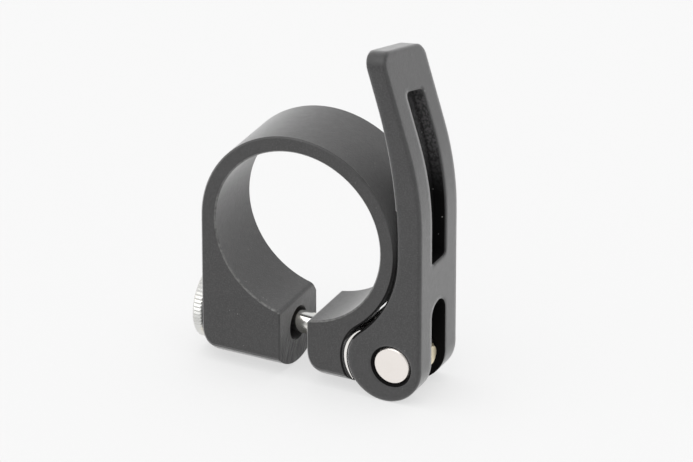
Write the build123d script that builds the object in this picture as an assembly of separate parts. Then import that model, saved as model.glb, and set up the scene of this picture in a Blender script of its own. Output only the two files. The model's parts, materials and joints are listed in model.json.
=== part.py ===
from build123d import *
import os
from math import asin, atan2, cos, degrees, hypot, pi, radians, sin, sqrt, tan

# Quick-release seat clamp: a split collar that a cam lever and a cross bolt draw together.
# The bore runs along Y, the cross bolt nearly along X, and the closed lever stands along +Z.
# The origin is the middle of the bore. Sizes are in millimetres, angles in degrees.

# Collar
BORE_DIAMETER = 34.9
COLLAR_WALL = 3.1
COLLAR_WIDTH = 15.8
SLIT_WIDTH = 5.8
SLIT_OFFSET = 0.9
SLIT_EDGE_RADIUS = 0.9
BORE_FLARE_DEPTH = 1.7
BORE_FLARE_WIDTH = 2.5
BOLT_BELOW_RING = 2.5
LUG_BELOW_BOLT = 7.6
LUG_CORNER_RADIUS = 2.6
LUG_CROWN_MARGIN = 3.1
LUG_HEEL_ANGLE = 40.0
LUG_HOLE_DIAMETER = 6.9
COLLAR_EDGE_BREAK = 0.3

# Cam lever
CAM_RADIUS = 7.75
CAM_THROW_RADIUS = 1.6
RING_GAP = 0.5
LEVER_LENGTH = 62.4
LEVER_INNER_STRAIGHT = 2.0
LEVER_BACK_STRAIGHT = 5.1
LEVER_LEAN = 17.0
LEVER_INNER_BEND = 100.0
LEVER_TIP_THICKNESS = 4.0
LEVER_TIP_PITCH = 8.0
LEVER_TIP_CORNER = 2.8
LEVER_END_SKEW = 14.5
LEVER_EDGE_BREAK = 0.3
BOLT_SLOT_WIDTH = 5.9
BOLT_SLOT_TOP = 12.1
POCKET_WIDTH = 6.1
POCKET_START = 20.5
POCKET_LENGTH = 34.3
POCKET_DEPTH = 2.6
POCKET_CORNER = 0.9
BARREL_MOUTH_BREAK = 0.4

# Saddle washer, barrel nut, head washer and cross bolt
SADDLE_THICKNESS = 0.7
SADDLE_INSET = 0.1
SADDLE_LOWER_ANGLE = 35.0
BARREL_DIAMETER = 7.6
BARREL_RECESS = 0.25
BARREL_EDGE_BREAK = 0.3
HEAD_WASHER_INSET = 0.6
HEAD_WASHER_THICKNESS = 0.6
BOLT_TILT = 2.0
BOLT_SHANK_DIAMETER = 4.4
BOLT_THREAD_DIAMETER = 4.9
BOLT_THREAD_LENGTH = 11.5
BOLT_TIP_INSET = 1.3
BOLT_TIP_BREAK = 0.6
BOLT_HEAD_INSET = 0.3
BOLT_HEAD_THICKNESS = 2.0
BOLT_HEAD_BREAK = 0.35
KNURL_PITCH = 0.8
KNURL_DEPTH = 0.22

# Clearances, each on one side
CAM_CLEARANCE = 0.1
SADDLE_CLEARANCE = 0.35
BARREL_CLEARANCE = 0.04
THREAD_CLEARANCE = 0.05
BOLT_HOLE_CLEARANCE = 0.15
SPOT_FACE_CLEARANCE = 0.5
HEAD_CLEARANCE = 0.03
OVERCUT = 1.0
SAME_PLACE = 0.01

# Places that follow from the sizes above
BORE_RADIUS = BORE_DIAMETER / 2
RING_RADIUS = BORE_RADIUS + COLLAR_WALL
HALF_WIDTH = COLLAR_WIDTH / 2
LUG_CROWN_RADIUS = HALF_WIDTH + LUG_CROWN_MARGIN
BOLT_Z = -(RING_RADIUS + BOLT_BELOW_RING)
LUG_BOTTOM = BOLT_Z - LUG_BELOW_BOLT
SLIT_LEFT = -SLIT_OFFSET - SLIT_WIDTH / 2
SLIT_RIGHT = -SLIT_OFFSET + SLIT_WIDTH / 2
SADDLE_INNER = CAM_RADIUS + CAM_CLEARANCE
SADDLE_OUTER = SADDLE_INNER + SADDLE_THICKNESS
SEAT_RADIUS = SADDLE_OUTER + SADDLE_CLEARANCE
# The cam's seat and the ring meet in a smooth S, so their centres lie one sum of radii apart.
CENTRE_DISTANCE = RING_RADIUS + SEAT_RADIUS
CAM_X = sqrt(CENTRE_DISTANCE**2 - BOLT_Z**2)
CAM_CENTRE = (CAM_X, BOLT_Z)
CONTACT_ANGLE = 180.0 - degrees(asin(-BOLT_Z / CENTRE_DISTANCE))
BARREL_X = CAM_X + CAM_THROW_RADIUS
BARREL_BORE_RADIUS = BARREL_DIAMETER / 2 + BARREL_CLEARANCE
LEVER_BACK_X = CAM_X + CAM_RADIUS
LEVER_TIP_Z = BOLT_Z + LEVER_LENGTH
LEVER_TIP_SKEW = HALF_WIDTH * tan(radians(LEVER_END_SKEW))
LEVER_BLANK_TOP = LEVER_TIP_Z + LEVER_TIP_SKEW + 2 * OVERCUT

# The lever's hollow runs from the cam, which it meets in a smooth S, to the waist beside the ring.
WAIST_X = RING_RADIUS + RING_GAP
WAIST_SHIFT = CAM_X - WAIST_X
HOLLOW_RADIUS = (WAIST_SHIFT**2 + BOLT_Z**2 - CAM_RADIUS**2) / (2 * (CAM_RADIUS - WAIST_SHIFT))
HOLLOW_CENTRE = (WAIST_X - HOLLOW_RADIUS, 0)
CAM_START_ANGLE = degrees(atan2(-BOLT_Z, HOLLOW_CENTRE[0] - CAM_X))

# Both sides of the handle bend by the same lean, so the tip is evenly thick.
# Their straight parts are counted from the waist, at the height of the bore's axis.
# A side's knee is where its two straight stretches would cross.
HALF_LEAN = tan(radians(LEVER_LEAN / 2))
INNER_KNEE_Z = LEVER_INNER_STRAIGHT + LEVER_INNER_BEND * HALF_LEAN
KNEE_SETBACK = (LEVER_BACK_X - WAIST_X) / tan(radians(LEVER_LEAN))
BACK_KNEE_Z = INNER_KNEE_Z + LEVER_TIP_THICKNESS / sin(radians(LEVER_LEAN)) - KNEE_SETBACK
LEVER_BACK_BEND = (BACK_KNEE_Z - LEVER_BACK_STRAIGHT) / HALF_LEAN
LEVER_TIP_X = WAIST_X - (LEVER_TIP_Z - INNER_KNEE_Z) * tan(radians(LEVER_LEAN))

# The bolt passes through the middle of the barrel nut and rises towards its head by the tilt.
# Places along it are counted from the barrel nut, negative towards the head.
BOLT_PLANE = Plane(
    (BARREL_X, 0, BOLT_Z),
    x_dir=(0, 1, 0),
    z_dir=(cos(radians(BOLT_TILT)), 0, -sin(radians(BOLT_TILT))),
)
BOLT_HEAD_RADIUS = HALF_WIDTH - BOLT_HEAD_INSET
HEAD_WASHER_RADIUS = BOLT_HEAD_RADIUS - HEAD_WASHER_INSET
SPOT_FACE_RADIUS = HEAD_WASHER_RADIUS + SPOT_FACE_CLEARANCE
SPOT_FACE_DEPTH = SPOT_FACE_RADIUS * tan(radians(BOLT_TILT))
LUG_FACE_PLACE = -(BARREL_X + RING_RADIUS) / cos(radians(BOLT_TILT))
SPOT_FACE_PLACE = LUG_FACE_PLACE + SPOT_FACE_DEPTH
SLIT_PLACE = -(BARREL_X + SLIT_OFFSET)
WASHER_PLACE = SPOT_FACE_PLACE - HEAD_CLEARANCE
HEAD_PLACE = WASHER_PLACE - HEAD_WASHER_THICKNESS
HEAD_END = HEAD_PLACE - BOLT_HEAD_THICKNESS
BOLT_TIP_PLACE = CAM_RADIUS - CAM_THROW_RADIUS - BOLT_TIP_INSET
THREAD_PLACE = BOLT_TIP_PLACE - BOLT_THREAD_LENGTH


def polar(centre, radius, angle):
    """Point at an angle on a circle."""
    return (centre[0] + radius * cos(radians(angle)), centre[1] + radius * sin(radians(angle)))


def leaning_side(right, bend_z, bend_radius):
    """Bend and straight tip of one side of the handle, in the front view."""
    bend = CenterArc((right - bend_radius, bend_z), bend_radius, 0, LEVER_LEAN)
    rise = LEVER_BLANK_TOP - (bend @ 1).Y
    return bend, PolarLine(bend @ 1, rise / cos(radians(LEVER_LEAN)), 90.0 + LEVER_LEAN)


def across(profile, half_width=HALF_WIDTH):
    """Extrude a front-view profile to both sides of the middle plane."""
    return extrude(Plane.XZ * profile, half_width, both=True)


def along_x(profile, start, end):
    """Extrude a side-view profile along X."""
    return extrude(Plane.YZ.offset(start) * profile, end - start)


def rod(radius, start, end, drop=0.0):
    """Round bar along the bolt, or below it by the drop."""
    return extrude(BOLT_PLANE.offset(start) * Pos(0, -drop) * Circle(radius), end - start)


def side_edges(solid):
    """Edges around the two flat side faces of a solid."""
    sides = solid.faces().filter_by(Axis.Y).sort_by(Axis.Y)
    return sides[0].edges() + sides[-1].edges()


def lug_hole(bar_diameter, start, end):
    """Hole for the bolt, set as low as the bolt dips while the cam turns."""
    hole_radius = LUG_HOLE_DIAMETER / 2
    drop = bar_diameter / 2 + CAM_THROW_RADIUS + BOLT_HOLE_CLEARANCE - hole_radius
    return rod(hole_radius, start, end, drop)


def lug_blank():
    """Front view of both lugs as one block, before the slit, bore and seat are cut."""
    heel = polar(CAM_CENTRE, SEAT_RADIUS, 180.0 + LUG_HEEL_ANGLE)
    foot = (heel[0], LUG_BOTTOM)
    left_foot = (-RING_RADIUS, LUG_BOTTOM)
    return make_face(Polyline((0, 0), CAM_CENTRE, heel, foot, left_foot, (-RING_RADIUS, 0), close=True))


def collar_profile():
    """Front view of the split ring with its two lugs and the cam's seat."""
    slit_height = OVERCUT - LUG_BOTTOM
    slit = Pos(-SLIT_OFFSET, -slit_height / 2) * Rectangle(SLIT_WIDTH, slit_height)
    seat = Pos(*CAM_CENTRE) * Circle(SEAT_RADIUS)
    profile = Circle(RING_RADIUS) + lug_blank() - Circle(BORE_RADIUS) - slit - seat
    slit_edges = [v for v in profile.vertices() if abs(hypot(v.X, v.Y) - BORE_RADIUS) < SAME_PLACE]
    return fillet(slit_edges, SLIT_EDGE_RADIUS)


def lug_crown():
    """Block with a round underside, which crowns the lugs from front to back."""
    shoulder = LUG_BOTTOM + LUG_CROWN_RADIUS - sqrt(LUG_CROWN_RADIUS**2 - HALF_WIDTH**2)
    reach = RING_RADIUS + OVERCUT
    crown = ThreePointArc((-HALF_WIDTH, shoulder), (0, LUG_BOTTOM), (HALF_WIDTH, shoulder))
    sides = Polyline(crown @ 1, (HALF_WIDTH, reach), (-HALF_WIDTH, reach), crown @ 0)
    return along_x(make_face(crown + sides), -reach, reach)


def crown_edges(collar, x):
    """Arc where a lug's flat face at x meets the crowned underside."""
    arcs = collar.edges().filter_by(GeomType.CIRCLE)
    return [arc for arc in arcs if abs(arc.center().X - x) < SAME_PLACE and arc.center().Z < BOLT_Z]


def bore_flare():
    """Cone that widens the bore's lower end, towards the frame."""
    slope = BORE_FLARE_WIDTH / BORE_FLARE_DEPTH
    depth = BORE_FLARE_DEPTH + OVERCUT
    mouth = Plane((0, HALF_WIDTH - BORE_FLARE_DEPTH, 0), z_dir=(0, 1, 0))
    from_mouth = (Align.CENTER, Align.CENTER, Align.MIN)
    return mouth * Cone(BORE_RADIUS, BORE_RADIUS + depth * slope, depth, align=from_mouth)


def make_collar():
    collar = across(collar_profile()) & lug_crown()
    corners = crown_edges(collar, -RING_RADIUS) + crown_edges(collar, SLIT_RIGHT)
    collar = fillet(corners, LUG_CORNER_RADIUS)
    collar = chamfer(side_edges(collar), COLLAR_EDGE_BREAK) - bore_flare()
    collar = collar - lug_hole(BOLT_SHANK_DIAMETER, LUG_FACE_PLACE - OVERCUT, SLIT_PLACE)
    collar = collar - lug_hole(BOLT_THREAD_DIAMETER, SLIT_PLACE, 0)
    return collar - rod(SPOT_FACE_RADIUS, LUG_FACE_PLACE - SPOT_FACE_DEPTH - OVERCUT, SPOT_FACE_PLACE)


def make_saddle_washer():
    """Bent steel strip between the cam and its seat, with a hole for the bolt."""
    sweep_angle = 180.0 + SADDLE_LOWER_ANGLE - CONTACT_ANGLE
    inner = CenterArc(CAM_CENTRE, SADDLE_INNER, CONTACT_ANGLE, sweep_angle)
    outer = CenterArc(CAM_CENTRE, SADDLE_OUTER, CONTACT_ANGLE, sweep_angle)
    upper_end = Line(inner @ 0, outer @ 0)
    lower_end = Line(inner @ 1, outer @ 1)
    strip = make_face(inner + outer + upper_end + lower_end)
    return across(strip, HALF_WIDTH - SADDLE_INSET) - lug_hole(BOLT_THREAD_DIAMETER, SLIT_PLACE, 0)


def lever_profile():
    """Front view of the lever: round cam, hollow beside the ring, and a gently bent handle."""
    cam = CenterArc(CAM_CENTRE, CAM_RADIUS, CAM_START_ANGLE, 360.0 - CAM_START_ANGLE)
    back = Line(cam @ 1, (LEVER_BACK_X, LEVER_BACK_STRAIGHT))
    back_bend, back_tip = leaning_side(LEVER_BACK_X, LEVER_BACK_STRAIGHT, LEVER_BACK_BEND)
    inner_bend, inner_tip = leaning_side(WAIST_X, LEVER_INNER_STRAIGHT, LEVER_INNER_BEND)
    top = Line(back_tip @ 1, inner_tip @ 1)
    waist = Line((WAIST_X, 0), (WAIST_X, LEVER_INNER_STRAIGHT))
    hollow = CenterArc(HOLLOW_CENTRE, HOLLOW_RADIUS, CAM_START_ANGLE - 180.0, 180.0 - CAM_START_ANGLE)
    handle = back + back_bend + back_tip + top + inner_tip + inner_bend + waist
    return make_face(cam + handle + hollow)


def lever_tip_mask():
    """Block that gives the lever its slanted tip with two rounded corners."""
    length = LEVER_LENGTH + 2 * CAM_RADIUS
    outline = Polyline(
        (-HALF_WIDTH, LEVER_TIP_SKEW),
        (HALF_WIDTH, -LEVER_TIP_SKEW),
        (HALF_WIDTH, -length),
        (-HALF_WIDTH, -length),
        close=True,
    )
    mask = make_face(outline)
    mask = fillet([v for v in mask.vertices() if v.Y > -length / 2], LEVER_TIP_CORNER)
    pitch = radians(LEVER_TIP_PITCH)
    tip = Plane((LEVER_TIP_X, 0, LEVER_TIP_Z), x_dir=(0, 1, 0), z_dir=(cos(pitch), 0, sin(pitch)))
    return extrude(tip * mask, LEVER_LENGTH, both=True)


def pocket_floor():
    """Block up to the pocket's floor, which follows the lever's back."""
    floor_x = LEVER_BACK_X - POCKET_DEPTH
    straight = Line((floor_x, BOLT_Z), (floor_x, LEVER_BACK_STRAIGHT))
    bend, tip = leaning_side(floor_x, LEVER_BACK_STRAIGHT, LEVER_BACK_BEND - POCKET_DEPTH)
    rest = Polyline(tip @ 1, (0, LEVER_BLANK_TOP), (0, BOLT_Z), (floor_x, BOLT_Z))
    return across(make_face(straight + bend + tip + rest))


def lever_pocket():
    """Blind pocket in the lever's back, with a top end that slants as the tip does."""
    side = POCKET_WIDTH / 2
    bottom = BOLT_Z + POCKET_START
    top = bottom + POCKET_LENGTH
    skew = side * tan(radians(LEVER_END_SKEW))
    corners = [(-side, bottom), (side, bottom), (side, top - skew), (-side, top + skew)]
    mouth = make_face(Polyline(*corners, close=True))
    mouth = fillet(mouth.vertices(), POCKET_CORNER)
    return along_x(mouth, 0, LEVER_BACK_X + OVERCUT) - pocket_floor()


def bolt_slot():
    """Slot that parts the cam into two cheeks, with a round top."""
    slot_radius = BOLT_SLOT_WIDTH / 2
    round_z = BOLT_Z + BOLT_SLOT_TOP - slot_radius
    height = round_z - LUG_BOTTOM + OVERCUT
    straight = Pos(0, round_z - height / 2) * Rectangle(BOLT_SLOT_WIDTH, height)
    return along_x(straight + Pos(0, round_z) * Circle(slot_radius), 0, LEVER_BACK_X + OVERCUT)


def make_lever():
    lever = across(lever_profile()) & lever_tip_mask()
    lever = chamfer(side_edges(lever), LEVER_EDGE_BREAK)
    lever = lever - lever_pocket() - bolt_slot()
    lever = lever - across(Pos(BARREL_X, BOLT_Z) * Circle(BARREL_BORE_RADIUS))
    mouths = [
        edge
        for edge in lever.edges().filter_by(GeomType.CIRCLE)
        if abs(edge.radius - BARREL_BORE_RADIUS) < SAME_PLACE
        and abs(abs(edge.center().Y) - HALF_WIDTH) < SAME_PLACE
    ]
    return chamfer(mouths, BARREL_MOUTH_BREAK)


def make_barrel_nut():
    """Round cross nut on which the lever turns, tapped for the bolt."""
    pin = Pos(BARREL_X, BOLT_Z) * Circle(BARREL_DIAMETER / 2)
    barrel = across(pin, HALF_WIDTH - BARREL_RECESS)
    barrel = chamfer(side_edges(barrel), BARREL_EDGE_BREAK)
    return barrel - rod(BOLT_THREAD_DIAMETER / 2 + THREAD_CLEARANCE, -CAM_RADIUS, CAM_RADIUS)


def make_head_washer():
    hole_radius = BOLT_SHANK_DIAMETER / 2 + BOLT_HOLE_CLEARANCE
    disc = rod(HEAD_WASHER_RADIUS, HEAD_PLACE, WASHER_PLACE)
    return disc - rod(hole_radius, HEAD_PLACE - OVERCUT, WASHER_PLACE + OVERCUT)


def knurl_profile():
    """Rim of the bolt's head with straight V-shaped knurling."""
    teeth = round(2 * pi * BOLT_HEAD_RADIUS / KNURL_PITCH)
    points = []
    for step in range(2 * teeth):
        radius = BOLT_HEAD_RADIUS - KNURL_DEPTH * (step % 2)
        points.append(polar((0, 0), radius, 180.0 * step / teeth))
    return make_face(Polyline(*points, close=True))


def make_bolt():
    blank = rod(BOLT_HEAD_RADIUS, HEAD_END, HEAD_PLACE)
    blank = chamfer(blank.edges().filter_by(GeomType.CIRCLE), BOLT_HEAD_BREAK)
    head = extrude(BOLT_PLANE.offset(HEAD_END) * knurl_profile(), BOLT_HEAD_THICKNESS) & blank
    shank = rod(BOLT_SHANK_DIAMETER / 2, HEAD_PLACE, THREAD_PLACE)
    thread = rod(BOLT_THREAD_DIAMETER / 2, THREAD_PLACE, BOLT_TIP_PLACE)
    thread = chamfer(thread.edges().filter_by(GeomType.CIRCLE).sort_by(Axis.X)[-1], BOLT_TIP_BREAK)
    return head + shank + thread


PARTS = {
    "clamp_collar": make_collar,
    "saddle_washer": make_saddle_washer,
    "cam_lever": make_lever,
    "barrel_nut": make_barrel_nut,
    "head_washer": make_head_washer,
    "clamp_bolt": make_bolt,
}

os.makedirs("parts", exist_ok=True)
for name, make in PARTS.items():
    export_step(make(), f"parts/{name}.step")
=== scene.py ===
import json
from math import atan2, cos, hypot, pi, radians, sin, tan

import bpy
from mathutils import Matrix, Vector


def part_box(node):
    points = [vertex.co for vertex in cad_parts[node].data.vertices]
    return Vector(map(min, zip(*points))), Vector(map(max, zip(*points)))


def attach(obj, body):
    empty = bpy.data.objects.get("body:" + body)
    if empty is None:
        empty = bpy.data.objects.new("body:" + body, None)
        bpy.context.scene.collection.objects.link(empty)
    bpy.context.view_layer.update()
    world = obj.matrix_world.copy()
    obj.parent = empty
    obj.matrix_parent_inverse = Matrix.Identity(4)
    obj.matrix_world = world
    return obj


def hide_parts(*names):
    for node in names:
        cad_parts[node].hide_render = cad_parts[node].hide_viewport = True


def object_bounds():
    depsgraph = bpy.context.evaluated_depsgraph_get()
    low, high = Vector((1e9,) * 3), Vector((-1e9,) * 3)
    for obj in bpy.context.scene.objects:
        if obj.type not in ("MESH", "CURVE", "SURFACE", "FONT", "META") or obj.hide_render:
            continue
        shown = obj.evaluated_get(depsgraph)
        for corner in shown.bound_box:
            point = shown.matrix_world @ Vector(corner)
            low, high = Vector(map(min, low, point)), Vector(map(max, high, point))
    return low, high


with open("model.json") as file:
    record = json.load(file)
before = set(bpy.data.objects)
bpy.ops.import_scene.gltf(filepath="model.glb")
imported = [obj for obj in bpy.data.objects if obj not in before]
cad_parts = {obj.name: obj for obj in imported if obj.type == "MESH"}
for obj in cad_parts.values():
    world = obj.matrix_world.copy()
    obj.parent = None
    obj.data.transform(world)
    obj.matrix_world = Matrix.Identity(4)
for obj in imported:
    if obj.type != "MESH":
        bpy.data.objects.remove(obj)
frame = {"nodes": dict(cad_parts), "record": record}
cad_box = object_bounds()

# Camera: long lens, right of the front and above, with the bore's middle left of the picture's middle
CAMERA_AZIMUTH = 26.7
CAMERA_ELEVATION = 26.5
CAMERA_DISTANCE = 1.2
CAMERA_LENS = 327.6
CAMERA_SENSOR = 36.0
CAMERA_REACH = 50.0
CAMERA_RIGHT = 0.005861
CAMERA_DOWN = 0.002017

# Stage: a floor that is clear to the camera but for a contact shadow, and a tent of light, dimmer in front
FLOOR_HALF = 8.0
FLOOR_ALBEDO = (0.9, 0.9, 0.9, 1.0)
FLOOR_GLOW = 0.945
FLOOR_CLEAR_SHARE = 0.88
FLOOR_GLOW_SHARE = 0.75
CONTACT_REACH = 0.03
CONTACT_DARK = 0.78
TENT_COLOUR = (1.0, 1.0, 1.0, 1.0)
TENT_FRONT = 0.62
TENT_BACK = 0.95
SUN_STRENGTH = 1.0
SUN_ANGLE = 60.0
SUN_TILT = (28.0, -18.0)

# Places on the collar that its finish, its painted shade and its painted highlight follow, in metres
SLIT_MIDDLE_X = -0.0009
SLIT_REACH = 0.0031
SLIT_TOP_Z = -0.0165
SLIT_SHADE_FULL_Z = -0.0270
SLIT_SHADE_GONE_Z = -0.0185
BORE_EDGE_RADIUS = 0.0179
FRONT_EDGE_Y = -0.0074
RING_EDGE_RADIUS = 0.0200
LEVER_SIDE_X = 0.0100
SEAT_MIDDLE_Z = -0.0230
SEAT_EDGE_RADIUS = 0.0093

# Places on the lever that its finish and its painted shade follow, in metres
LEVER_BACK_X = 0.02608
LEVER_BEND_LOW_Z = 0.0051
LEVER_BEND_RISE = 0.0178
LEVER_BEND_RADIUS = 0.0608
LEVER_LEAN = 17.0
LEVER_EDGE_ROUND = 0.0013
LEVER_EDGE_SAMPLES = 6
POCKET_HALF_WIDTH = 0.00308
POCKET_LOW_Z = -0.0040
POCKET_HIGH_Z = 0.0340
POCKET_RIM = 0.0003
POCKET_WALL = 0.0020
POCKET_FLOOR = 0.0025
POCKET_BOTTOM = 0.0036
POCKET_SHADE_FULL_Z = 0.0090
POCKET_SHADE_EASED_Z = 0.0240
SLOT_TOP_Z = -0.0108
HOLLOW_TOP_Z = 0.0100
HOLLOW_LOW_Z = -0.0040
WAIST_RADIUS = 0.0225
WAIST_TOP_Z = -0.0060
WAIST_LOW_Z = -0.0120
MOUTH_RADIUS = 0.00426

# Places along the bolt where its plating is dull and where it is stained gold, in metres
BOLT_DULL_X = -0.0190
BOLT_GOLD_X = 0.0205

# Sockets of a Mix node, whose names repeat, so that they go by number
MIX_NUMBERS = (2, 3)
MIX_COLOURS = (6, 7)
MIX_COLOUR_OUT = 2

# Facings that tell surfaces apart: parts of a face's outward direction along one axis
EDGE_LEANS_FROM = (0.35, 0.55)
EDGE_LEANS_TO = (0.85, 0.97)
SIDE_FACING = (0.8, 0.95)
SLIT_FACING = 0.9
SLOT_FACING = 0.5
RING_FACING = -0.15

# Blasted black aluminium, and the painted shade laid over it in its gaps and hollows
COLLAR_BLACK = (0.0162, 0.0156, 0.0158)
COLLAR_RUBBED = (0.04, 0.039, 0.039)
COLLAR_SHADE = 0.2
LEVER_BLACK = (0.0165, 0.016, 0.0165)
LEVER_RUBBED = (0.036, 0.036, 0.036)
LEVER_SHADE = 0.3
DUST_COLOUR = (0.3, 0.3, 0.29)
# Colour of the painted highlight on the bore's front edge
BORE_HIGHLIGHT_COLOUR = (0.16, 0.16, 0.156)
SPECK_COLOUR = (0.5, 0.5, 0.48)
CLOUD_TONES = (0.88, 1.14)
GRAIN_TONE = 3.0
SAWN_TONE = 2.6
MILLED_TONES = (0.8, 6.0)
BLACK_IOR = 1.6
BLACK_SHEEN = 0.9
BLACK_SHEEN_ROUGHNESS = 0.42
BLACK_BUMP = 0.00006
BLACK_BUMP_STRENGTH = 0.8
SHADE_ROUGHNESS = 0.9
SHADE_SPECULAR = 0.1
# Shares of painted shade: beside the gaps, at the lever's waist, low in the slit, across the saw marks, in
# the pocket
GAP_SHADE = 0.85
WAIST_SHADE = 0.95
SLIT_SHADE = 0.62
SAWN_PALE_SHADE = 0.3
SAWN_RELIEF = 0.5
POCKET_UNSHADED_SHARES = (0.95, 0.45)
POCKET_ROUGHNESS = 0.8

# Noise in the black: waves per metre, detail, and how its levels are stretched
GRAIN_SCALE = 3900.0
GRAIN_DETAIL = 3.0
GRAIN_LEVELS = (0.42, 0.72, 0.0, 0.8)
CLOUD = (140.0, 3.0, 0.3, 0.7)
DUST = (2300.0, 0.0, 0.85, 0.875, 0.0, 0.7)
RUB = (420.0, 3.0, 0.3, 0.7, 0.25, 1.0)
BORE_HIGHLIGHT_BREAKS = (1700.0, 3.0, 0.3, 0.65, 0.2, 1.0)
SPECKS = (1500.0, 1.0, 0.76, 0.79)
COLLAR_GLOSS = (900.0, 2.0, 0.25, 0.75, 0.42, 0.52)
LEVER_GLOSS = (900.0, 2.0, 0.25, 0.75, 0.38, 0.48)
SAW_DIRECTION = (0.0, 0.42, 0.9)
SAW_SCALE = 4200.0
SAW_PALE_LEVELS = (0.5, 0.72)
SAW_SHADE_LEVELS = (0.3, 0.7)
MILL_SCALE = 1900.0
MILL_DETAIL = 3.0
MILL_LEVELS = (0.35, 0.65)
STREAK_STRETCH = 0.94

# Plated steel: the saddle, the barrel nut and the bolt
SADDLE_COLOUR = (0.95, 0.93, 0.9)
SADDLE_STAIN = (0.75, 0.72, 0.68)
SADDLE_MARKS = (0.0, 1.0, 0.0)
SADDLE_ROUGHNESS = 0.25
SADDLE_WEAR = 1.0
BARREL_COLOUR = (0.94, 0.89, 0.85)
BARREL_STAIN = (0.88, 0.82, 0.77)
BARREL_ROUGHNESS = 0.3
BARREL_WEAR = 0.35
BOLT_COLOUR = (0.77, 0.77, 0.75)
BOLT_STAIN = (0.95, 0.86, 0.64)
BOLT_ROUGHNESS = 0.11
BOLT_WEAR = 0.8
STEEL_CLOUD = (300.0, 4.0, 0.45, 0.8, 0.0)
STEEL_CLOUD_SHARE = 0.6
LATHE_SCALE = 2600.0
LATHE_DETAIL = 3.0
BRUSH_SCALE = 3800.0
MARK_LEVELS = (0.25, 0.75)
MARK_SMOOTHER = 0.05
MARK_ROUGHER = 0.08
MARK_BUMP = 0.00001
MARK_BUMP_STRENGTH = 0.08
DULL_ROUGHER = 0.3

# Black nylon: the washer
NYLON_COLOUR = (0.02, 0.02, 0.02)
NYLON_PALE_TONE = 1.5
NYLON_CLOUD_SCALE = 500.0
NYLON_CLOUD_DETAIL = 3.0
NYLON_GLOSS = (1200.0, 2.0, 0.25, 0.75, 0.45, 0.55)
NYLON_GRAIN_SCALE = 2500.0
NYLON_BUMP = 0.00002
NYLON_BUMP_STRENGTH = 0.4

# Bolt, which is cut here with its thread and knurling, in metres
BOLT_THREAD_RADIUS = 0.00245
BOLT_THREAD_DEPTH = 0.00044
BOLT_THREAD_PITCH = 0.0008
BOLT_THREAD_LENGTH = 0.0115
BOLT_THREAD_ROOT = 0.2
BOLT_THREAD_FLANK = 0.65
BOLT_TIP_BREAK = 0.0006
BOLT_SHANK_RADIUS = 0.0022
BOLT_HEAD_THICKNESS = 0.002
BOLT_HEAD_RADIUS = 0.0076
BOLT_HEAD_BREAK = 0.00035
BOLT_STEPS = 72
RINGS_PER_PITCH = 12
THREAD_END_SHARE = 0.01
SHANK_IN_HEAD_SHARE = 0.25
KNURL_TEETH = 60
KNURL_DEPTH = 0.00022
STEPS_PER_TOOTH = 6

# Saddle strip, which is thickest in its middle, in metres
SADDLE_THICKNESS = 0.00052
SADDLE_END_THICKNESS = 0.00012


def joint_facts(name):
    return next(joint for joint in frame["record"]["behaviour"]["joints"] if joint["name"] == name)


def joint_place(name):
    return Vector(joint_facts(name)["pos_m"])


def shade(colour, factor=1.0):
    return tuple(factor * c for c in colour) + (1.0,)


def link(thing):
    bpy.context.scene.collection.objects.link(thing)


def make_camera():
    azimuth = radians(CAMERA_AZIMUTH)
    elevation = radians(CAMERA_ELEVATION)
    back = Vector((sin(azimuth) * cos(elevation), -cos(azimuth) * cos(elevation), sin(elevation)))
    right = Vector((cos(azimuth), sin(azimuth), 0.0))
    up = back.cross(right)
    camera = bpy.data.objects.new("camera", bpy.data.cameras.new("camera"))
    camera.data.sensor_width = CAMERA_SENSOR
    camera.data.lens = CAMERA_LENS
    camera.data.clip_end = CAMERA_REACH
    camera.location = back * CAMERA_DISTANCE + right * CAMERA_RIGHT - up * CAMERA_DOWN
    camera.rotation_euler = (radians(90.0 - CAMERA_ELEVATION), 0.0, azimuth)
    link(camera)
    bpy.context.scene.camera = camera


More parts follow.
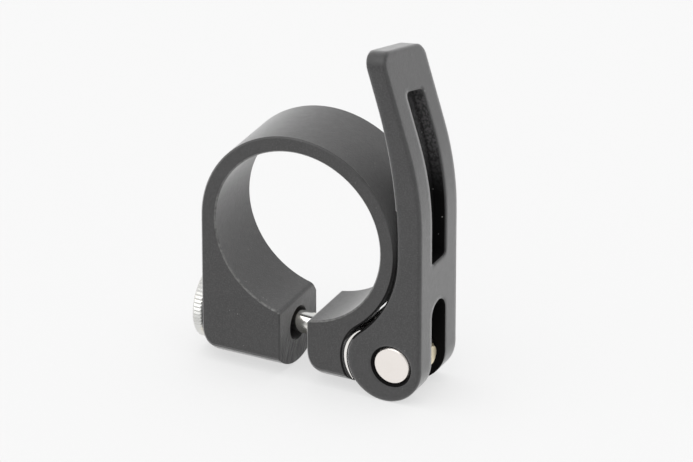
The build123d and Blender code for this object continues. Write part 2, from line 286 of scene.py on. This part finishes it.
class Shader:
    """A material's node tree with short calls for the nodes that the finishes share."""

    def __init__(self, name):
        self.material = bpy.data.materials.new(name)
        self.material.use_nodes = True
        self.nodes = self.material.node_tree.nodes
        self.links = self.material.node_tree.links
        self.surface = self.nodes["Principled BSDF"]
        self.place = self.add("ShaderNodeTexCoord").outputs["Object"]
        self.facing = self.add("ShaderNodeNewGeometry").outputs["True Normal"]

    def add(self, kind, **settings):
        node = self.nodes.new(kind)
        for key, value in settings.items():
            setattr(node, key, value)
        return node

    def put(self, socket, value):
        if isinstance(value, bpy.types.NodeSocket):
            self.links.new(value, socket)
        else:
            socket.default_value = value

    def set(self, **values):
        for key, value in values.items():
            self.put(self.surface.inputs[key.replace("_", " ")], value)
        return self.material

    def show(self, surface):
        self.put(self.nodes["Material Output"].inputs["Surface"], surface)

    def noise(self, scale, detail=2.0, place=None):
        node = self.add("ShaderNodeTexNoise")
        self.put(node.inputs["Vector"], place or self.place)
        node.inputs["Scale"].default_value = scale
        node.inputs["Detail"].default_value = detail
        return node.outputs["Fac"]

    def pattern(self, scale, detail, low, high, to_low=0.0, to_high=1.0):
        """Noise whose levels from low to high are stretched to other levels."""
        return self.remap(self.noise(scale, detail), low, high, to_low, to_high)

    def streaks(self, along, scale):
        """Noise drawn out along a direction in the frame."""
        direction = Vector(along).normalized()
        reach = self.add("ShaderNodeVectorMath", operation="DOT_PRODUCT")
        self.put(reach.inputs[0], self.place)
        reach.inputs[1].default_value = direction
        pull = self.add("ShaderNodeVectorMath", operation="SCALE")
        pull.inputs[0].default_value = -STREAK_STRETCH * direction
        self.put(pull.inputs["Scale"], reach.outputs["Value"])
        squeezed = self.add("ShaderNodeVectorMath", operation="ADD")
        self.put(squeezed.inputs[0], self.place)
        self.put(squeezed.inputs[1], pull.outputs[0])
        return self.noise(scale, place=squeezed.outputs[0])

    def rings(self, middle, along, scale, detail):
        """Noise in rings round a line, as a lathe leaves them."""
        offset = self.add("ShaderNodeVectorMath", operation="SUBTRACT")
        self.put(offset.inputs[0], self.place)
        offset.inputs[1].default_value = middle
        around = self.add("ShaderNodeVectorMath", operation="CROSS_PRODUCT")
        self.put(around.inputs[0], offset.outputs[0])
        around.inputs[1].default_value = along
        radius = self.add("ShaderNodeVectorMath", operation="LENGTH")
        self.put(radius.inputs[0], around.outputs[0])
        only = self.add("ShaderNodeCombineXYZ")
        self.put(only.inputs[0], radius.outputs["Value"])
        return self.noise(scale, detail, only.outputs[0])

    def remap(self, value, low, high, to_low=0.0, to_high=1.0):
        node = self.add("ShaderNodeMapRange", interpolation_type="SMOOTHSTEP")
        self.put(node.inputs["Value"], value)
        for key, number in zip(("From Min", "From Max", "To Min", "To Max"), (low, high, to_low, to_high)):
            node.inputs[key].default_value = number
        return node.outputs["Result"]

    def math(self, operation, first, second=0.0):
        node = self.add("ShaderNodeMath", operation=operation)
        self.put(node.inputs[0], first)
        self.put(node.inputs[1], second)
        return node.outputs[0]

    def product(self, *values):
        result = values[0]
        for value in values[1:]:
            result = self.math("MULTIPLY", result, value)
        return result

    def largest(self, *values):
        result = values[0]
        for value in values[1:]:
            result = self.math("MAXIMUM", result, value)
        return result

    def above(self, value, limit):
        return self.math("GREATER_THAN", value, limit)

    def below(self, value, limit):
        return self.math("LESS_THAN", value, limit)

    def axis(self, vector, index):
        node = self.add("ShaderNodeSeparateXYZ")
        self.put(node.inputs[0], vector)
        return node.outputs[index]

    def size(self, vector, index):
        """How far a vector reaches along one axis, either way."""
        return self.math("ABSOLUTE", self.axis(vector, index))

    def from_axis(self, x=0.0, z=0.0):
        """Distance from a line along Y."""
        aside = self.math("SUBTRACT", self.axis(self.place, 0), x)
        over = self.math("SUBTRACT", self.axis(self.place, 2), z)
        return self.math("SQRT", self.math("ADD", self.product(aside, aside), self.product(over, over)))

    def edge_breaks(self):
        """1 on the narrow faces that lean between the side faces and the rest, as the edge breaks do."""
        lean = self.size(self.facing, 1)
        return self.product(self.remap(lean, *EDGE_LEANS_FROM), self.remap(lean, *EDGE_LEANS_TO, 1.0, 0.0))

    def mix(self, factor, first, second):
        node = self.add("ShaderNodeMix", data_type="RGBA")
        self.put(node.inputs[0], factor)
        self.put(node.inputs[MIX_COLOURS[0]], first)
        self.put(node.inputs[MIX_COLOURS[1]], second)
        return node.outputs[MIX_COLOUR_OUT]

    def bump(self, height, distance, strength, normal=None):
        node = self.add("ShaderNodeBump")
        self.put(node.inputs["Height"], height)
        node.inputs["Distance"].default_value = distance
        node.inputs["Strength"].default_value = strength
        if normal is not None:
            self.put(node.inputs["Normal"], normal)
        return node.outputs["Normal"]

    def rounded(self, radius, samples):
        """Normals that turn softly over the edges."""
        node = self.add("ShaderNodeBevel", samples=samples)
        node.inputs["Radius"].default_value = radius
        return node.outputs[0]

    def blend(self, share, first, second):
        node = self.add("ShaderNodeMixShader")
        self.put(node.inputs[0], share)
        self.put(node.inputs[1], first)
        self.put(node.inputs[2], second)
        return node.outputs[0]

    def paint_shade(self, share, base):
        """Mix a dull dark surface over the finish where share is 1, as painted shade."""
        dull = self.add("ShaderNodeBsdfPrincipled")
        self.put(dull.inputs["Base Color"], base)
        dull.inputs["Roughness"].default_value = SHADE_ROUGHNESS
        dull.inputs["Specular IOR Level"].default_value = SHADE_SPECULAR
        self.show(self.blend(share, self.surface.outputs[0], dull.outputs[0]))


def blasted(shader, base, rubbed):
    """Colour and grain of black dyed, bead-blasted aluminium that is rubbed pale along its edges."""
    dark, pale = CLOUD_TONES
    colour = shader.mix(shader.pattern(*CLOUD), shade(base, dark), shade(base, pale))
    grain = shader.noise(GRAIN_SCALE, GRAIN_DETAIL)
    colour = shader.mix(shader.remap(grain, *GRAIN_LEVELS), colour, shade(base, GRAIN_TONE))
    colour = shader.mix(shader.pattern(*DUST), colour, shade(DUST_COLOUR))
    rub = shader.product(shader.edge_breaks(), shader.pattern(*RUB))
    return shader.mix(rub, colour, shade(rubbed)), grain


def set_black(shader, colour, gloss, normal):
    return shader.set(
        Base_Color=colour,
        Roughness=gloss,
        Normal=normal,
        IOR=BLACK_IOR,
        Sheen_Weight=BLACK_SHEEN,
        Sheen_Roughness=BLACK_SHEEN_ROUGHNESS,
    )


def slit_faces(shader):
    """1 on the two faces of the slit."""
    from_middle = shader.math("SUBTRACT", shader.axis(shader.place, 0), SLIT_MIDDLE_X)
    near = shader.below(shader.math("ABSOLUTE", from_middle), SLIT_REACH)
    flat = shader.above(shader.size(shader.facing, 0), SLIT_FACING)
    low = shader.below(shader.axis(shader.place, 2), SLIT_TOP_Z)
    return shader.product(near, flat, low)


def ring_gap_shade(shader):
    """Painted shade on the ring where the lever lies close to it, its flat sides left out."""
    height = shader.axis(shader.place, 2)
    by_lever = shader.product(
        shader.above(shader.axis(shader.place, 0), LEVER_SIDE_X),
        shader.above(shader.from_axis(), RING_EDGE_RADIUS),
        shader.above(height, SEAT_MIDDLE_Z),
        shader.remap(height, HOLLOW_LOW_Z, HOLLOW_TOP_Z, 1.0, 0.0),
    )
    return shader.product(by_lever, shader.remap(shader.size(shader.facing, 1), *SIDE_FACING, GAP_SHADE, 0.0))


def collar_finish():
    """Blasted black with saw marks in the slit, painted shade low in it and by the lever and saddle, and a
    painted bore highlight.
    """
    shader = Shader("collar_anodised")
    colour, grain = blasted(shader, COLLAR_BLACK, COLLAR_RUBBED)
    sawn = slit_faces(shader)
    marks = shader.streaks(SAW_DIRECTION, SAW_SCALE)
    pale = shader.product(sawn, shader.remap(marks, *SAW_PALE_LEVELS))
    colour = shader.mix(pale, colour, shade(COLLAR_BLACK, SAWN_TONE))
    # Painted shade, deepest low in the slit and broken up by the saw marks
    sunk_shade = shader.remap(shader.axis(shader.place, 2), SLIT_SHADE_FULL_Z, SLIT_SHADE_GONE_Z, SLIT_SHADE, 0.0)
    cut = shader.product(sawn, sunk_shade, shader.remap(marks, *SAW_SHADE_LEVELS, 1.0, SAWN_PALE_SHADE))
    # Painted shade along the edge break of the cam's seat, beside the saddle
    cam = joint_place("lever_open")
    by_saddle = shader.below(shader.from_axis(cam.x, cam.z), SEAT_EDGE_RADIUS)
    seat_edge_shade = shader.product(shader.edge_breaks(), by_saddle, GAP_SHADE)
    # Painted shade laid over the finish: low in the slit, beside the lever and along the seat's edge
    shader.paint_shade(shader.largest(cut, ring_gap_shade(shader), seat_edge_shade), shade(COLLAR_BLACK, COLLAR_SHADE))
    # Painted highlight: a paler line, broken up by noise, on the front edge break of the bore
    bore_highlight = shader.product(
        shader.edge_breaks(),
        shader.below(shader.from_axis(), BORE_EDGE_RADIUS),
        shader.below(shader.axis(shader.place, 1), FRONT_EDGE_Y),
        shader.pattern(*BORE_HIGHLIGHT_BREAKS),
    )
    colour = shader.mix(bore_highlight, colour, shade(BORE_HIGHLIGHT_COLOUR))
    relief = shader.math("ADD", grain, shader.product(sawn, marks, SAWN_RELIEF))
    normal = shader.bump(relief, BLACK_BUMP, BLACK_BUMP_STRENGTH)
    return set_black(shader, colour, shader.pattern(*COLLAR_GLOSS), normal)


def lever_depth(shader, height):
    """Depth below the lever's back, which rises straight, bends and then leans."""
    risen = shader.math("MAXIMUM", shader.math("SUBTRACT", height, LEVER_BEND_LOW_Z), 0.0)
    bent = shader.math("MINIMUM", risen, LEVER_BEND_RISE)
    leaning = shader.math("MULTIPLY", shader.math("SUBTRACT", risen, bent), tan(radians(LEVER_LEAN)))
    bow = shader.math("DIVIDE", shader.product(bent, bent), 2 * LEVER_BEND_RADIUS)
    back = shader.math("SUBTRACT", LEVER_BACK_X, shader.math("ADD", bow, leaning))
    return shader.math("SUBTRACT", back, shader.axis(shader.place, 0))


def lever_gap_shade(shader, height):
    """Painted shade on the lever's waist and on its edge breaks above the saddle, beside the ring."""
    to_ring = shader.below(shader.axis(shader.facing, 0), RING_FACING)
    hollow_edge = shader.product(
        shader.edge_breaks(),
        to_ring,
        shader.below(height, HOLLOW_TOP_Z),
        shader.above(height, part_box("saddle_washer")[1].z),
    )
    waist = shader.product(
        shader.below(shader.from_axis(), WAIST_RADIUS),
        to_ring,
        shader.remap(height, WAIST_LOW_Z, WAIST_TOP_Z, 1.0, 0.0),
    )
    return shader.product(shader.largest(hollow_edge, waist), WAIST_SHADE)


def lever_finish():
    """Blasted black with a milled pocket, and painted shade in the pocket, slot and barrel's mouth and beside
    the ring.
    """
    shader = Shader("lever_anodised")
    colour, grain = blasted(shader, LEVER_BLACK, LEVER_RUBBED)
    height = shader.axis(shader.place, 2)
    depth = lever_depth(shader, height)
    inside = shader.below(shader.size(shader.place, 1), POCKET_HALF_WIDTH)
    pocket = shader.product(
        inside,
        shader.above(height, POCKET_LOW_Z),
        shader.below(height, POCKET_HIGH_Z),
        shader.above(depth, POCKET_RIM),
        shader.below(depth, POCKET_BOTTOM),
    )
    # Painted shade on the slot's walls and in the mouth of the barrel's bore
    wall = shader.below(shader.size(shader.facing, 0), SLOT_FACING)
    slot = shader.product(inside, shader.below(height, SLOT_TOP_Z), wall)
    barrel = joint_place("barrel_turn")
    mouth = shader.below(shader.from_axis(barrel.x, barrel.z), MOUTH_RADIUS)

    cuts = shader.noise(MILL_SCALE, MILL_DETAIL)
    dark, pale = MILLED_TONES
    milled = shader.mix(shader.remap(cuts, *MILL_LEVELS), shade(LEVER_BLACK, dark), shade(LEVER_BLACK, pale))
    colour = shader.mix(pocket, colour, milled)
    # Painted shade in the pocket, eased towards its top and near its rim, and in the slot, the mouth and
    # beside the ring
    shade_lifted = shader.remap(height, POCKET_SHADE_FULL_Z, POCKET_SHADE_EASED_Z)
    unshaded_share = shader.product(shade_lifted, shader.remap(depth, POCKET_WALL, POCKET_FLOOR, *POCKET_UNSHADED_SHARES))
    sunk_shade = shader.product(pocket, shader.math("SUBTRACT", 1.0, unshaded_share))
    shaded = shader.largest(sunk_shade, slot, mouth, lever_gap_shade(shader, height))
    specks = shader.product(pocket, shader.pattern(*SPECKS))
    shader.paint_shade(shaded, shader.mix(specks, shade(LEVER_BLACK, LEVER_SHADE), shade(SPECK_COLOUR)))

    relief = shader.math("ADD", grain, shader.product(pocket, shade_lifted, cuts))
    edges = shader.rounded(LEVER_EDGE_ROUND, LEVER_EDGE_SAMPLES)
    normal = shader.bump(relief, BLACK_BUMP, BLACK_BUMP_STRENGTH, edges)
    gloss = shader.largest(shader.pattern(*LEVER_GLOSS), shader.product(pocket, POCKET_ROUGHNESS))
    return set_black(shader, colour, gloss, normal)


def plated(name, base, stain, roughness, wear, along=None, lathe=None, dull_to=-1.0, stained_from=1.0):
    """Plated steel, marked along a direction or round a joint's axis, dull or stained past a place in X."""
    shader = Shader(name)
    aside = shader.axis(shader.place, 0)
    cloud = shader.pattern(*STEEL_CLOUD, STEEL_CLOUD_SHARE * wear)
    stained = shader.above(aside, stained_from)
    colour = shader.mix(shader.largest(cloud, stained), shade(base), shade(stain))
    if lathe:
        marks = shader.rings(joint_place(lathe), joint_facts(lathe)["axis"], LATHE_SCALE, LATHE_DETAIL)
    else:
        marks = shader.streaks(along, BRUSH_SCALE)
    smooth = roughness - MARK_SMOOTHER * wear
    rough = roughness + MARK_ROUGHER * wear
    dull = shader.largest(stained, shader.below(aside, dull_to))
    gloss = shader.remap(marks, *MARK_LEVELS, smooth, rough)
    gloss = shader.math("ADD", gloss, shader.product(dull, DULL_ROUGHER))
    normal = shader.bump(marks, MARK_BUMP, MARK_BUMP_STRENGTH * wear)
    return shader.set(Base_Color=colour, Roughness=gloss, Normal=normal, Metallic=1.0)


def nylon():
    shader = Shader("washer_black")
    cloud = shader.noise(NYLON_CLOUD_SCALE, NYLON_CLOUD_DETAIL)
    colour = shader.mix(cloud, shade(NYLON_COLOUR), shade(NYLON_COLOUR, NYLON_PALE_TONE))
    normal = shader.bump(shader.noise(NYLON_GRAIN_SCALE), NYLON_BUMP, NYLON_BUMP_STRENGTH)
    return shader.set(Base_Color=colour, Roughness=shader.pattern(*NYLON_GLOSS), Normal=normal)


def cover(mesh, material):
    mesh.materials.clear()
    mesh.materials.append(material)


def dress(node, material):
    cover(frame["nodes"][node].data, material)


def stand_in(name, mesh, material, body, node):
    """Add a piece that rides on a body in place of a CAD node."""
    cover(mesh, material)
    piece = bpy.data.objects.new(name, mesh)
    link(piece)
    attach(piece, body)
    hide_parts(node)


def clamped(value):
    return min(max(value, 0.0), 1.0)


def spaced(start, end, count):
    return [start + (end - start) * step / count for step in range(count + 1)]


def thread_radius(place, angle, tip):
    """Rolled thread with flat crests and roots, which fades into the shank and has a chamfered tip."""
    turn = ((place - tip) / BOLT_THREAD_PITCH - angle / (2 * pi)) % 1.0
    flank = clamped((abs(2 * turn - 1) - BOLT_THREAD_ROOT) / BOLT_THREAD_FLANK)
    radius = BOLT_THREAD_RADIUS - BOLT_THREAD_DEPTH * (1.0 - flank)
    left = clamped((tip + BOLT_THREAD_LENGTH - place) / BOLT_THREAD_PITCH)
    radius = BOLT_SHANK_RADIUS + (radius - BOLT_SHANK_RADIUS) * left
    return min(radius, BOLT_THREAD_RADIUS - BOLT_TIP_BREAK + place - tip)


def knurl_radius(place, angle, low, high):
    """Straight V-shaped knurling between two chamfers."""
    valley = 1.0 - abs(2 * ((angle * KNURL_TEETH / (2 * pi)) % 1.0) - 1)
    chamfer = BOLT_HEAD_RADIUS - BOLT_HEAD_BREAK + min(place - low, high - place)
    return min(BOLT_HEAD_RADIUS - KNURL_DEPTH * valley, chamfer)


def turned(points, faces, places, steps, radius, middle, basis):
    """Add a closed bar to a mesh: rings of points along the bolt, joined by quads and two end faces."""
    across, upward, axis = basis
    first = len(points)
    for place in places:
        for step in range(steps):
            angle = 2 * pi * step / steps
            out = across * cos(angle) + upward * sin(angle)
            points.append(middle + axis * place + out * radius(place, angle))
    for ring in range(len(places) - 1):
        low = first + ring * steps
        for step in range(steps):
            after = (step + 1) % steps
            faces.append((low + step, low + after, low + steps + after, low + steps + step))
    faces.append(tuple(range(first + steps - 1, first - 1, -1)))
    last = first + (len(places) - 1) * steps
    faces.append(tuple(range(last, last + steps)))


def make_bolt(material):
    """The cross bolt with a rolled thread and a knurled head, in place of the plain CAD bolt."""
    middle = joint_place("bolt_turn")
    axis = Vector(joint_facts("bolt_turn")["axis"]).normalized()
    across = Vector((0.0, 1.0, 0.0))
    basis = (across, axis.cross(across), axis)
    along = [(point.co - middle).dot(axis) for point in frame["nodes"]["clamp_bolt"].data.vertices]
    tip = min(along)
    head_end = max(along)
    head = head_end - BOLT_HEAD_THICKNESS
    thread_end = tip + BOLT_THREAD_LENGTH

    def shank(place, angle):
        return thread_radius(place, angle, tip)

    def knurl(place, angle):
        return knurl_radius(place, angle, head, head_end)

    points = []
    faces = []
    rings = spaced(tip, thread_end, round(RINGS_PER_PITCH * BOLT_THREAD_LENGTH / BOLT_THREAD_PITCH))
    rings.append(thread_end + THREAD_END_SHARE * (head - thread_end))
    rings.append(head + SHANK_IN_HEAD_SHARE * BOLT_HEAD_THICKNESS)
    turned(points, faces, rings, BOLT_STEPS, shank, middle, basis)
    rings = spaced(head, head + BOLT_HEAD_BREAK, 2) + spaced(head_end - BOLT_HEAD_BREAK, head_end, 2)
    turned(points, faces, rings, STEPS_PER_TOOTH * KNURL_TEETH, knurl, middle, basis)
    mesh = bpy.data.meshes.new("threaded_bolt")
    mesh.from_pydata(points, [], faces)
    stand_in("threaded_bolt", mesh, material, "bolt", "clamp_bolt")


def make_saddle(material):
    """A copy of the CAD saddle strip, hole and all, that is thinned outside towards both ends."""
    middle = joint_place("lever_open")
    mesh = frame["nodes"]["saddle_washer"].data.copy()
    mesh.name = "pressed_saddle"
    places = [point.co - middle for point in mesh.vertices]
    radii = [hypot(place.x, place.z) for place in places]
    angles = [atan2(place.z, -place.x) for place in places]
    inner = min(radii)
    cad_thickness = max(radii) - inner
    first = min(angles)
    span = max(angles) - first
    for point, place, radius, angle in zip(mesh.vertices, places, radii, angles):
        swell = sin(pi * (angle - first) / span)
        thickness = SADDLE_END_THICKNESS + (SADDLE_THICKNESS - SADDLE_END_THICKNESS) * swell
        reach = (inner + (radius - inner) * thickness / cad_thickness) / radius
        point.co = middle + Vector((place.x * reach, place.y, place.z * reach))
    stand_in("pressed_saddle", mesh, material, "collar", "saddle_washer")


def floor_finish():
    """White paper to the light, a bright ground in mirrors, and a film with a shadow to the camera."""
    paper = Shader("floor_paper")
    material = paper.set(Base_Color=FLOOR_ALBEDO, Roughness=1.0, Specular_IOR_Level=0.0)
    rays = paper.add("ShaderNodeLightPath").outputs
    mirrored = paper.largest(rays["Is Glossy Ray"], rays["Is Transmission Ray"])
    glow = paper.add("ShaderNodeEmission")
    glow.inputs["Strength"].default_value = FLOOR_GLOW
    opaque = paper.blend(
        paper.product(mirrored, FLOOR_GLOW_SHARE), paper.surface.outputs[0], glow.outputs[0]
    )
    contact = paper.add("ShaderNodeAmbientOcclusion")
    contact.inputs["Distance"].default_value = CONTACT_REACH
    clear = paper.add("ShaderNodeBsdfTransparent")
    paper.put(clear.inputs["Color"], paper.remap(contact.outputs["AO"], 0.0, 1.0, CONTACT_DARK, 1.0))
    share = paper.product(rays["Is Camera Ray"], FLOOR_CLEAR_SHARE)
    paper.show(paper.blend(share, opaque, clear.outputs[0]))
    return material


def make_floor():
    low = cad_box[0].z
    corners = [(x * FLOOR_HALF, y * FLOOR_HALF, low) for x, y in ((-1, -1), (1, -1), (1, 1), (-1, 1))]
    mesh = bpy.data.meshes.new("floor")
    mesh.from_pydata(corners, [], [(0, 1, 2, 3)])
    cover(mesh, floor_finish())
    floor = bpy.data.objects.new("floor", mesh)
    link(floor)


def make_tent():
    """A white world that brightens from front to back, and is one even white to the camera."""
    world = bpy.data.worlds.new("light_tent")
    world.use_nodes = True
    nodes = world.node_tree.nodes
    links = world.node_tree.links
    split = nodes.new("ShaderNodeSeparateXYZ")
    links.new(nodes.new("ShaderNodeTexCoord").outputs["Generated"], split.inputs[0])
    fade = nodes.new("ShaderNodeMapRange")
    for key, number in (("From Min", -1.0), ("From Max", 1.0), ("To Min", TENT_FRONT), ("To Max", TENT_BACK)):
        fade.inputs[key].default_value = number
    links.new(split.outputs["Y"], fade.inputs["Value"])
    seen = nodes.new("ShaderNodeMix")
    links.new(nodes.new("ShaderNodeLightPath").outputs["Is Camera Ray"], seen.inputs[0])
    links.new(fade.outputs["Result"], seen.inputs[MIX_NUMBERS[0]])
    seen.inputs[MIX_NUMBERS[1]].default_value = FLOOR_GLOW
    links.new(seen.outputs[0], nodes["Background"].inputs["Strength"])
    nodes["Background"].inputs["Color"].default_value = TENT_COLOUR
    bpy.context.scene.world = world


def make_sun():
    sun = bpy.data.objects.new("sun", bpy.data.lights.new("sun", "SUN"))
    sun.data.energy = SUN_STRENGTH
    sun.data.angle = radians(SUN_ANGLE)
    sun.rotation_euler = (radians(SUN_TILT[0]), radians(SUN_TILT[1]), 0.0)
    link(sun)


make_camera()
make_floor()
make_tent()
make_sun()

steel = plated(
    "saddle_steel", SADDLE_COLOUR, SADDLE_STAIN, SADDLE_ROUGHNESS, SADDLE_WEAR, along=SADDLE_MARKS
)
nickel = plated(
    "barrel_nickel", BARREL_COLOUR, BARREL_STAIN, BARREL_ROUGHNESS, BARREL_WEAR, lathe="barrel_turn"
)
zinc = plated(
    "bolt_zinc",
    BOLT_COLOUR,
    BOLT_STAIN,
    BOLT_ROUGHNESS,
    BOLT_WEAR,
    lathe="bolt_turn",
    dull_to=BOLT_DULL_X,
    stained_from=BOLT_GOLD_X,
)
dress("clamp_collar", collar_finish())
dress("cam_lever", lever_finish())
dress("saddle_washer", steel)
dress("barrel_nut", nickel)
dress("head_washer", nylon())
dress("clamp_bolt", zinc)
make_saddle(steel)
make_bolt(zinc)

bpy.context.scene.view_settings.view_transform = "Standard"
